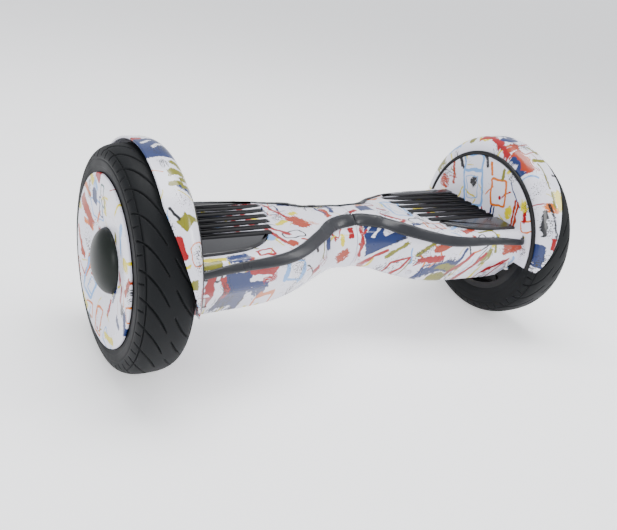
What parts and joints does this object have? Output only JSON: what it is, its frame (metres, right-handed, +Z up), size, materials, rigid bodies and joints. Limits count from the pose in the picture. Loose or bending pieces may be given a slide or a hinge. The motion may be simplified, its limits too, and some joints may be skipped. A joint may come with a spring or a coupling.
{
  "type": "self balancing hoverboard",
  "caption": "Two-wheeled self balancing board: two tilting halves on a central pivot, ribbed foot pads, hub-motor wheels under round fenders.",
  "frame": {"origin": "on the ground, midway between the wheels, under the wheel axle", "axes": "+X along the wheel axle to the right, -Y is the front, +Z up"},
  "size_m": [0.639, 0.2644, 0.2616],
  "materials": {
    "printed_shell": "glossy white with a printed film",
    "strip_plastic": "satin dark grey",
    "black_trim": "satin black",
    "cap_plastic": "satin near-black",
    "tyre_rubber": "matt black rubber",
    "pad_rubber": "matt black rubber",
    "cast_aluminium": "cast and machined",
    "steel": "plain steel",
    "stator_iron": "laminations with copper windings",
    "circuit_board": "green board",
    "cable_rubber": "black jacket",
    "bronze": "sintered bronze",
    "battery_wrap": "blue shrink wrap"
  },
  "bodies": {
    "left_half": {"upper_shell_left": "printed_shell", "lower_shell_left": "printed_shell", "shell_screws_left": "steel", "front_bumper_left": "strip_plastic", "rear_bumper_left": "strip_plastic", "side_panel_left": "printed_shell", "fender_left": "printed_shell", "fender_trim_left": "black_trim", "chassis_left": "cast_aluminium", "axle_left": "steel", "axle_clamp_left": "cast_aluminium", "clamp_screws_left": "steel", "stator_left": "stator_iron", "sensor_board_left": "circuit_board", "motor_cable_left": "cable_rubber", "pivot_shaft": "steel", "pivot_circlip": "steel", "thrust_washer": "bronze", "link_cable": "cable_rubber", "battery_pack": "battery_wrap", "battery_strap": "cast_aluminium"},
    "right_half": {"upper_shell_right": "printed_shell", "lower_shell_right": "printed_shell", "shell_screws_right": "steel", "front_bumper_right": "strip_plastic", "rear_bumper_right": "strip_plastic", "side_panel_right": "printed_shell", "fender_right": "printed_shell", "fender_trim_right": "black_trim", "chassis_right": "cast_aluminium", "axle_right": "steel", "axle_clamp_right": "cast_aluminium", "clamp_screws_right": "steel", "stator_right": "stator_iron", "sensor_board_right": "circuit_board", "motor_cable_right": "cable_rubber", "pivot_bushes": "bronze", "main_board": "circuit_board", "charge_socket": "steel"},
    "left_wheel": {"tyre_left": "tyre_rubber", "inner_tube_left": "tyre_rubber", "wheel_rim_left": "cast_aluminium", "motor_lid_left": "cast_aluminium", "rotor_magnets_left": "steel", "wheel_bearings_left": "steel", "hub_cover_left": "printed_shell", "centre_cap_left": "cap_plastic"},
    "right_wheel": {"tyre_right": "tyre_rubber", "inner_tube_right": "tyre_rubber", "wheel_rim_right": "cast_aluminium", "motor_lid_right": "cast_aluminium", "rotor_magnets_right": "steel", "wheel_bearings_right": "steel", "hub_cover_right": "printed_shell", "centre_cap_right": "cap_plastic"},
    "left_foot_pad": {"foot_pad_left": "pad_rubber"},
    "right_foot_pad": {"foot_pad_right": "pad_rubber"},
    "power_button": {"power_button": "cap_plastic"},
    "charge_cap": {"charge_cap": "pad_rubber"}
  },
  "joints": [
    {"name": "halves_twist", "type": "hinge", "parent": "left_half", "child": "right_half", "pos_m": [0, 0, 0.131], "axis": [1, 0, 0], "range_deg": [-12, 12]},
    {"name": "left_wheel_spin", "type": "hinge", "parent": "left_half", "child": "left_wheel", "pos_m": [-0.2768, 0, 0.127], "axis": [1, 0, 0], "continuous": true},
    {"name": "right_wheel_spin", "type": "hinge", "parent": "right_half", "child": "right_wheel", "pos_m": [0.2768, 0, 0.127], "axis": [1, 0, 0], "continuous": true},
    {"name": "left_foot_pad_press", "type": "slide", "parent": "left_half", "child": "left_foot_pad", "axis": [0, 0, -1], "range_m": [0, 0.0012], "stiffness_N_per_m": 20000, "springref_m": -0.0005},
    {"name": "right_foot_pad_press", "type": "slide", "parent": "right_half", "child": "right_foot_pad", "axis": [0, 0, -1], "range_m": [0, 0.0012], "stiffness_N_per_m": 20000, "springref_m": -0.0005},
    {"name": "power_button_press", "type": "slide", "parent": "right_half", "child": "power_button", "axis": [0, -1, 0], "range_m": [0, 0.0012], "stiffness_N_per_m": 400, "springref_m": -0.0005},
    {"name": "charge_cap_open", "type": "hinge", "parent": "right_half", "child": "charge_cap", "pos_m": [0.1867, 0.083, 0.13], "axis": [0, 0, -1], "range_deg": [0, 120]}
  ]
}
